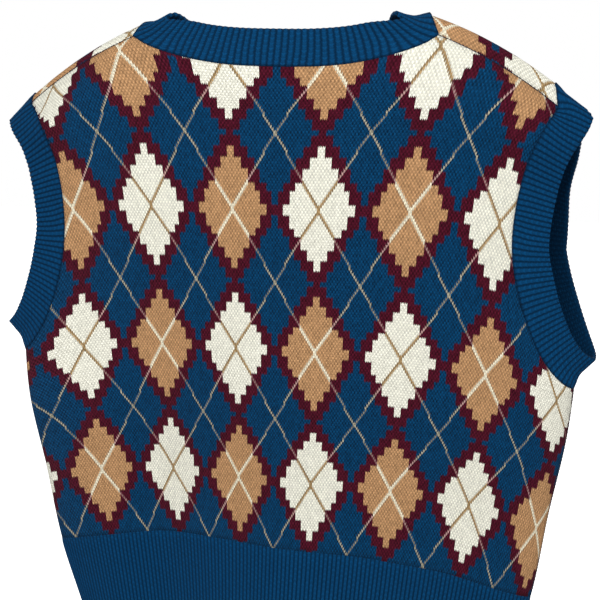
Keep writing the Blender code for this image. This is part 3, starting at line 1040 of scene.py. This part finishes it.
@dataclass
class Band:
    """What the armbands and the neckband share: a ribbed strip rolled off a seam."""

    cut: Cut
    width: float
    pitch: float = 4.4
    depth: float = 0.42
    thickness: float = 2.6
    gap: float = 1.0
    proud: float = 0.3  # where the solid starts above the panel
    lift: float = 0.25  # how far the middle of the ribs' relief stands off the solid
    relief_over: float = 4.0
    tuck: float = 2.0  # how far the band's edge goes under the panel's
    most_roll: float = 95.0  # in degrees
    roll_early: float = 1.4
    easing: int = 2
    coarse_rows: int = 3
    rows: int = 9
    samples: int = 1600
    samples_a_rib: int = 6

    def roll(self, across: Array, run: Array) -> Array:
        """How far the free edge rolls towards its target at each station, 0 to 1."""
        raise NotImplementedError

    def share(self, run: Array) -> Array:
        """How much of the evening out each station takes, 0 to 1."""
        return np.ones(len(run))

    def relax(self, rows: Array, share: Array, closed: bool) -> Array:
        """Evens out the stations along each row, more towards the free edge."""
        for row in range(1, len(rows)):
            for _ in range(row * self.easing):
                line = rows[row]
                eased = (np.roll(line, 1, axis=0) + 2 * line + np.roll(line, -1, axis=0)) / 4
                kept = slice(None) if closed else slice(1, -1)
                rows[row, kept] += ((eased - line) * share[:, None])[kept]
        return rows

    def offsets(self, seam: BandSeam) -> tuple[Array, Array]:
        """How the band leaves its seam at a few stations, as the solid has it.

        Args:
            seam: The seam.

        Returns:
            Each row's offset from the seam, and its normals.
        """
        across, run = seam.path(seam.stations)
        start, normal = self.cut.form.place_with_normal(across, run)
        if seam.closed:
            along = np.roll(start, -1, axis=0) - np.roll(start, 1, axis=0)
        else:
            along = np.gradient(start, axis=0)
        inwards = unit(np.cross(normal, unit(along)))
        inwards *= np.sign(np.sum(inwards * (seam.opening - start), axis=1, keepdims=True))
        if not seam.closed:
            inwards[0], inwards[-1] = inwards[1], inwards[-2]
        lean = np.arctan2(normal @ seam.target, inwards @ seam.target)
        lean = self.roll(across, run) * np.clip(lean, 0.0, np.radians(self.most_roll))
        reach, rise = np.zeros_like(lean), np.full_like(lean, self.proud)
        rows, normals = [], []
        for step in np.linspace(0.0, 1.0, self.coarse_rows + 1):
            bend = lean * min(1.0, self.roll_early * step)
            if step > 0:
                reach = reach + self.width / self.coarse_rows * np.cos(bend)
                rise = rise + self.width / self.coarse_rows * np.sin(bend)
            rows.append(start + inwards * (self.gap + reach)[:, None] + normal * rise[:, None])
            normals.append(normal * np.cos(bend)[:, None] - inwards * np.sin(bend)[:, None])
        share = self.share(run)
        rows = self.relax(np.array(rows), share, seam.closed)
        reached = np.sum(np.linalg.norm(np.diff(rows, axis=0), axis=2), axis=0)
        rows = rows[0] - start + (rows - rows[0]) * (self.width / reached)[:, None]
        return rows, unit(self.relax(np.array(normals), share, seam.closed))

    def lay_out(self, seam: BandSeam) -> tuple[Array, Array, Array]:
        """The band's fine grid.

        Args:
            seam: The seam.

        Returns:
            Points, normals and the chart, ribs along and millimetres from the seam.
        """
        offsets, normals = self.offsets(seam)
        turns = seam.stations
        index = np.arange(len(turns), dtype=float)
        last = index[-1]
        if seam.closed:
            last = float(len(turns))
            index = np.arange(-2.0, last + 3)
            wrap = index.astype(int) % len(turns)
            offsets, normals = offsets[:, wrap], normals[:, wrap]
            turns = turns[wrap] + 4.0 * np.floor(index / len(turns))

        def seam_points(places: Array) -> Array:
            """The seam's points at places counted in coarse stations."""
            return self.cut.form.place(*seam.path(np.interp(places, index, turns) % ONCE_ROUND))

        dense = np.linspace(0.0, last, self.samples)
        lengths = running_length(seam_points(dense) + smooth_through(offsets[-2], index, dense))
        ribs = round(lengths[-1] / self.pitch)
        even = even_places(lengths, ribs * self.samples_a_rib)
        fine = np.interp(even, np.arange(len(dense)), dense)
        coarse = np.linspace(0.0, 1.0, self.coarse_rows + 1)
        steps = np.linspace(0.0, 1.0, self.rows + 1)
        spread = []
        for rows in (offsets, normals):
            along = np.array([smooth_through(row, index, fine) for row in rows])
            across = smooth_through(along.reshape(len(coarse), -1), coarse, steps)
            spread.append(across.reshape(len(steps), -1, 3))
        points, rolled = seam_points(fine) + spread[0], unit(spread[1])
        tuck = points[0] - unit(points[1] - points[0]) * self.tuck
        points = np.concatenate([tuck[None], points])
        rolled = np.concatenate([rolled[:1], rolled])
        rib = np.linspace(0.0, ribs, len(fine))
        away = np.concatenate([[0.0], self.tuck + steps * self.width])
        chart = np.stack(np.meshgrid(rib, away), axis=-1)
        ease = np.clip(away / self.relief_over, 0.0, 1.0)[:, None]
        lift = self.lift - self.depth * ease * np.cos(math.tau * rib)
        return points + rolled * lift[..., None], rolled, chart


@dataclass
class Armband(Band):
    """The ribbed band round one armhole."""

    side: Side = Side.LEFT
    flat: FlatCut = FlatCut(0.5, 0.025, 0.0125)
    underarm_flare: float = 0.62
    underarm_easing: float = 0.25
    flare_from: float = 70.0
    middle: tuple[float, float, float] = (232.0, 0.0, -190.0)
    scoop_stations: int = 6
    rises: tuple[float, ...] = (0.16, 0.32, 0.47, 0.6, 0.72, 0.82, 0.9, 0.95, 1.0)

    def roll(self, across: Array, run: Array) -> Array:
        """0 lies on the form, as at the shoulder; 1 points straight out sideways."""
        return self.underarm_flare * self.low(run)

    def low(self, run: Array) -> Array:
        """0 at the shoulder, 1 at the bottom of the armhole."""
        reach = self.cut.form.ridge - self.cut.underarm - self.flare_from
        return np.clip((np.abs(run) - self.flare_from) / reach, 0.0, 1.0)

    def share(self, run: Array) -> Array:
        """Evens out the turn at the shoulder more than the fold under the arm."""
        return 1.0 + (self.underarm_easing - 1.0) * self.low(run)

    def build(self, material: Material) -> Piece:
        """Builds and dresses the armband."""
        side = self.side.value
        scoop = np.linspace(0.0, 1.0, self.scoop_stations)
        half = np.concatenate([scoop, 1.0 + np.array(self.rises)])
        turns = np.concatenate([half, 4.0 - half[-2:0:-1]])

        def path(turn: Array) -> tuple[Array, Array]:
            """The armhole's edge on this side."""
            across, run = self.cut.armhole_loop(turn)
            return side * across, run

        target = np.array([float(side), 0.0, 0.0])
        opening = np.array(self.middle) * (side, 1.0, 1.0)
        grid = self.lay_out(BandSeam(turns, path, target, opening, closed=True))
        name = "armband_" + self.side.name.lower()
        piece = Sheet("knit_" + name, *grid, self.thickness, closed=True).mesh()
        dress(piece, material, (name,))
        return piece


@dataclass
class Neckband(Band):
    """The ribbed band round the neck, mitred at the V."""

    flat: FlatCut = FlatCut(0.66, 0.026, 0.0171)
    stand: float = 0.3
    lies_flat: float = 60.0
    seam_gap: float = 0.3
    front_parts: tuple[float, ...] = (0.0, 0.16, 0.34, 0.52, 0.68, 0.8, 0.88, 0.93, 0.97, 1.0)
    back_parts: tuple[float, ...] = (0.88, 0.68, 0.52, 0.34, 0.16, 0.0)

    def roll(self, across: Array, run: Array) -> Array:
        """0 lies on the form, as at the middle of the back; 1 stands upright."""
        behind = 1 - (across / self.cut.neck_point) ** 2
        in_front = np.clip(-run / self.lies_flat, 0.0, 1.0)
        return self.stand * (1 - np.where(run > 0, behind, in_front))

    def mitre(self, rows: Array) -> None:
        """Cuts the first stations back to the mitre at the middle of the front.

        Args:
            rows: One side's points, from the V point on, which are moved in place.
        """
        inner, edge = rows[-1], self.seam_gap / 2
        last = int(np.argmax(inner[:, 0] > edge)) - 1
        step = inner[last + 1] - inner[last]
        corner = inner[last] + step * (edge - inner[last, 0]) / step[0]
        seam_step = rows[0, 1] - rows[0, 0]
        seam_corner = rows[0, 0] + seam_step * (edge - rows[0, 0, 0]) / seam_step[0]
        for k in range(last + 1):
            inner_end = corner + (inner[last + 1] - corner) * k / (last + 1)
            seam_end = rows[0, k] if k else seam_corner
            for row, part in enumerate(np.linspace(0.0, 1.0, len(rows))):
                rows[row, k] = seam_end + (inner_end - seam_end) * part

    def build(self, material: Material) -> Piece:
        """Builds and dresses the neckband."""
        half = np.concatenate([self.front_parts, 2.0 - np.array(self.back_parts)])
        turns = np.concatenate([half, 4.0 - half[-2::-1]])
        target = np.array([0.0, 0.0, 1.0])
        seam = BandSeam(turns, self.cut.neck_loop, target, np.zeros(3), closed=False)
        points, normal, chart = self.lay_out(seam)
        middle = points.shape[1] // 2
        for side, part in ((1.0, points[:, : middle + 1]), (-1.0, points[:, : middle - 1 : -1])):
            part[:, :, 0] *= side
            self.mitre(part)
            part[:, :, 0] *= side
        piece = Sheet("knit_neckband", points, normal, chart, self.thickness).mesh()
        dress(piece, material, ("neckband",))
        return piece


@dataclass
class LinkedSeam:
    """A linking stitch laid in the groove between two panels."""

    cut: Cut
    name: str
    radius: float = 0.75
    sunk: float = 0.25
    sides: int = 8
    step: float = 0.6
    samples: int = 400
    lump: float = 0.18  # how much the plies swell the thread, as a share
    twist: float = 2.4

    def lay(self, across: Array, run: Array, material: Material) -> Piece:
        """Builds and dresses the thread.

        Args:
            across: Places across along the seam, in millimetres.
            run: Runs along it.
            material: The thread's finish.

        Returns:
            The thread.
        """
        dense = np.linspace(0, len(across) - 1, self.samples)
        index = np.arange(len(across))
        across, run = np.interp(dense, index, across), np.interp(dense, index, run)
        lengths = running_length(self.cut.form.place(across, run))
        places = even_places(lengths, round(lengths[-1] / self.step))
        across, run = (np.interp(places, np.arange(len(dense)), row) for row in (across, run))
        middle, normal = self.cut.form.place_with_normal(across, run)
        along = unit(np.gradient(middle, axis=0))
        sideways = unit(np.cross(along, normal))
        turn = np.linspace(0.0, math.tau, self.sides + 1)
        length = np.linspace(0.0, lengths[-1], len(places))
        swell = self.radius * (1 + self.lump * np.cos(math.tau * length / self.twist))
        ring = np.cos(turn)[:, None, None] * normal + np.sin(turn)[:, None, None] * sideways
        points = middle - normal * self.sunk + ring * swell[:, None]
        chart = np.stack(np.meshgrid(length, turn / math.tau * 2.0), axis=-1)
        piece = Sheet(self.name, points, ring, chart, 0.0, closed=True).mesh()
        dress(piece, material, ())
        return piece


# ---- The studio ----
@dataclass(frozen=True)
class Lamp:
    """A soft square lamp: where it stands and its side in metres, its power in watts."""

    name: str
    place: tuple[float, float, float]
    size: float
    power: float


@dataclass(frozen=True)
class WhitePaper:
    """The floor's paper."""

    # Matt seamless paper, lit so that the eye gets clean white with no edge or texture.
    name: str = "white_paper"
    colour: str = "FAFAFA"
    roughness: float = 0.9
    glow: float = 0.9

    def build(self) -> Material:
        """Makes the material."""
        made = bpy.data.materials.new(self.name)
        made.use_nodes = True
        inputs = made.node_tree.nodes["Principled BSDF"].inputs
        inputs["Base Color"].default_value = linear(self.colour)
        inputs["Roughness"].default_value = self.roughness
        inputs["Emission Color"].default_value = WHITE
        inputs["Emission Strength"].default_value = self.glow
        return made


@dataclass
class Studio:
    """A white floor, soft lamps and the camera, in metres and radians."""

    floor_height: float = -0.78
    floor_size: float = 6.0
    surround: float = 0.5
    lamps: tuple[Lamp, ...] = (
        Lamp("key_lamp", (0.3, 2.3, 1.1), 1.6, 51.0),
        Lamp("fill_lamp", (-1.5, 2.0, 0.5), 1.8, 25.0),
    )
    lit_point: tuple[float, float, float] = (0.0, 0.0, -0.25)
    camera_place: tuple[float, float, float] = (-0.242759, 0.983606, -0.055934)
    camera_yaw: float = 0.23
    camera_pitch: float = -0.162
    camera_roll: float = -0.005
    lens: float = 82.63
    sensor: float = 36.0

    def build_floor(self) -> None:
        """Makes the pale floor below the vest."""
        made = bmesh.new()
        bmesh.ops.create_grid(made, x_segments=1, y_segments=1, size=self.floor_size)
        bmesh.ops.translate(made, verts=made.verts, vec=(0.0, 0.0, self.floor_height))
        data = bpy.data.meshes.new("floor")
        made.to_mesh(data)
        made.free()
        data.materials.append(WhitePaper().build())
        floor = bpy.data.objects.new("floor", data)
        bpy.context.scene.collection.objects.link(floor)
        floor.visible_diffuse = floor.visible_glossy = False

    def build_lamps(self) -> None:
        """Adds the lamps, aimed at the vest."""
        for lamp in self.lamps:
            data = bpy.data.lights.new(lamp.name, "AREA")
            data.shape, data.size, data.energy = "SQUARE", lamp.size, lamp.power
            made = bpy.data.objects.new(lamp.name, data)
            made.location = lamp.place
            aim = Vector(self.lit_point) - Vector(lamp.place)
            made.rotation_euler = aim.to_track_quat("-Z", "Y").to_euler()
            bpy.context.scene.collection.objects.link(made)

    def build_surround(self) -> None:
        """Adds the white surround, which looks brighter than it lights."""
        world = bpy.data.worlds.new("white_surround")
        world.use_nodes = True
        tree = world.node_tree
        inputs = tree.nodes["Background"].inputs
        inputs["Color"].default_value = WHITE
        seen = add_node(tree, "LightPath").node.outputs["Is Camera Ray"]
        shown = add_node(tree, "Math.MULTIPLY_ADD", seen, 1.0 - self.surround, self.surround)
        tree.links.new(shown, inputs["Strength"])
        bpy.context.scene.world = world
        bpy.context.scene.view_settings.view_transform = "Standard"

    def build_camera(self) -> None:
        """Places the camera behind the wearer's right shoulder, level with it."""
        yaw, pitch = self.camera_yaw, self.camera_pitch
        ahead, down = math.cos(pitch), math.sin(pitch)
        forward = Vector((math.sin(yaw) * ahead, -math.cos(yaw) * ahead, down))
        right = forward.cross(Vector((0.0, 0.0, 1.0))).normalized()
        turned = Matrix.Rotation(self.camera_roll, 3, forward)
        axes = Matrix((turned @ right, turned @ right.cross(forward), -forward)).transposed()
        data = bpy.data.cameras.new("camera")
        data.lens, data.sensor_width = self.lens, self.sensor
        camera = bpy.data.objects.new("camera", data)
        camera.matrix_world = Matrix.Translation(self.camera_place) @ axes.to_4x4()
        bpy.context.scene.collection.objects.link(camera)
        bpy.context.scene.camera = camera

    def build(self) -> None:
        """Builds the whole studio."""
        self.build_floor()
        self.build_lamps()
        self.build_surround()
        self.build_camera()


def main() -> None:
    """Builds the studio and every piece of the vest."""
    logging.basicConfig(level=logging.INFO, format="%(name)s: %(message)s")
    Studio().build()
    form = VestForm()
    cut = Cut(form)
    lay = ChartLay(form)
    jacquard = ArgyleJacquard().build()
    rib_wool = RibWool().build()
    reverse = JacquardReverse().build()
    thread = SeamThread().build()
    JacquardPanel(cut, lay, Face.BACK, FlatCut(0.462, 0.404, 0.142)).build(jacquard, reverse)
    JacquardPanel(cut, lay, Face.FRONT, FlatCut(0.462, 0.438, 0.149)).build(jacquard, reverse)
    for face in Face:
        HemRib(cut, face, FlatCut(0.462, 0.065, 0.030)).build(rib_wool)
    for side in Side:
        where = side.name.lower()
        Armband(cut, 25.0, pitch=3.65, side=side).build(rib_wool)
        ends = (cut.neck_point - THREAD_END, cut.shoulder_tip + THREAD_END)
        shoulder = side.value * np.linspace(*ends, THREAD_PLACES)
        behind = np.full_like(shoulder, cut.seam_behind_ridge)
        seam = LinkedSeam(cut, "shoulder_seam_" + where, radius=0.5, sunk=0.35)
        seam.lay(shoulder, behind, thread)
        down = cut.run(np.linspace(cut.underarm, -cut.hem_rib, THREAD_PLACES), Face.BACK)
        flank = np.full_like(down, side.value * form.panel_half)
        LinkedSeam(cut, "side_seam_" + where, radius=0.6, sunk=0.5).lay(flank, down, thread)
    Neckband(cut, 26.0, pitch=4.7).build(rib_wool)


if __name__ == "__main__":
    main()
